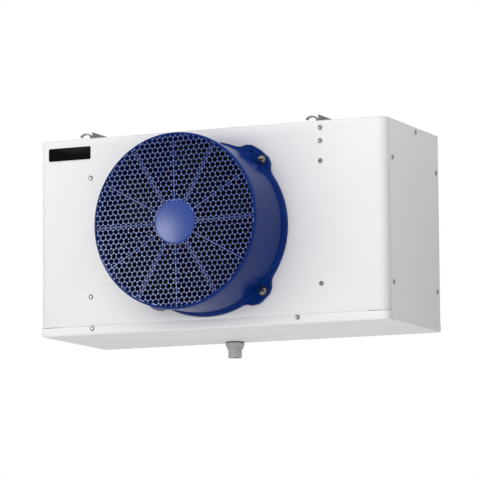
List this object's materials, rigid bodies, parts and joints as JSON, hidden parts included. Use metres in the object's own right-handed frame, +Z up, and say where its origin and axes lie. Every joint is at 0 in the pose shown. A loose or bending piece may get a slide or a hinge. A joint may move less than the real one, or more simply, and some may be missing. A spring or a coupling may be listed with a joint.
{
  "type": "walk-in unit cooler",
  "caption": "Ceiling-hung unit cooler: white sheet-metal casing, blue fan ring with honeycomb guard, fin-and-tube coil behind, drain pan with pipe stub below.",
  "frame": {"origin": "middle of the four hanger slots, on the upper face of the hanger tabs, which lies against the ceiling nuts or ceiling", "axes": "+Z up to the ceiling, -Y out through the fan guard (the front), +X to the right seen from the front, along the casing's length"},
  "size_m": [0.725, 0.468, 0.425],
  "materials": {
    "white_coat": "satin white powder coat",
    "galvanised": "galvanised sheet, dull",
    "zinc_plate": "bright zinc plate",
    "blue_plastic": "semi-gloss moulded blue",
    "black_plastic": "matt black moulding",
    "grey_plastic": "light grey moulding",
    "copper_tube": "bare copper, slightly dull",
    "brass_body": "machined brass",
    "fin_aluminium": "thin bright fins",
    "black_enamel": "black enamel",
    "steel_part": "plain steel",
    "black_rubber": "soft black",
    "plate_face": "gloss black, blank"
  },
  "bodies": {
    "casing": {"front_panel": "white_coat", "top_panel": "white_coat", "end_panel_right": "white_coat", "end_panel_left": "white_coat", "coil_plate_left": "galvanised", "coil_plate_right": "galvanised", "rear_plate_left": "white_coat", "rear_plate_right": "white_coat", "drain_pan": "white_coat", "drain_fitting": "grey_plastic", "drain_gasket": "black_rubber", "drain_locknut": "grey_plastic", "fan_ring": "blue_plastic", "ring_gasket": "black_rubber", "ring_bolts": "zinc_plate", "ring_nuts": "zinc_plate", "fan_guard": "blue_plastic", "hub_cap": "blue_plastic", "motor_stator": "steel_part", "motor_screws": "zinc_plate", "motor_lead": "black_rubber", "cable_grommet": "black_rubber", "terminal_box": "galvanised", "box_cover": "galvanised", "box_screws": "zinc_plate", "terminal_block": "black_plastic", "ground_lug": "brass_body", "fin_pack": "fin_aluminium", "coil_tubes": "copper_tube", "return_bends_left": "copper_tube", "return_bends_right": "copper_tube", "suction_header": "copper_tube", "suction_line": "copper_tube", "liquid_line": "copper_tube", "expansion_valve": "brass_body", "distributor": "brass_body", "feeder_tubes": "copper_tube", "sensing_bulb": "copper_tube", "bulb_strap": "steel_part", "access_valve": "brass_body", "access_cap": "brass_body", "pipe_grommets": "black_rubber", "hanger_rail_left": "galvanised", "hanger_rail_right": "galvanised", "rail_screws": "zinc_plate", "front_screws": "zinc_plate", "pan_screws": "zinc_plate", "side_screws_right": "zinc_plate", "side_screws_left": "zinc_plate", "nameplate": "plate_face"},
    "fan": {"motor_rotor": "black_enamel", "impeller": "black_plastic"}
  },
  "joints": [
    {"name": "fan_spin", "type": "hinge", "parent": "casing", "child": "fan", "pos_m": [0.0255, -0.275, -0.2055], "axis": [0, -1, 0], "continuous": true}
  ]
}
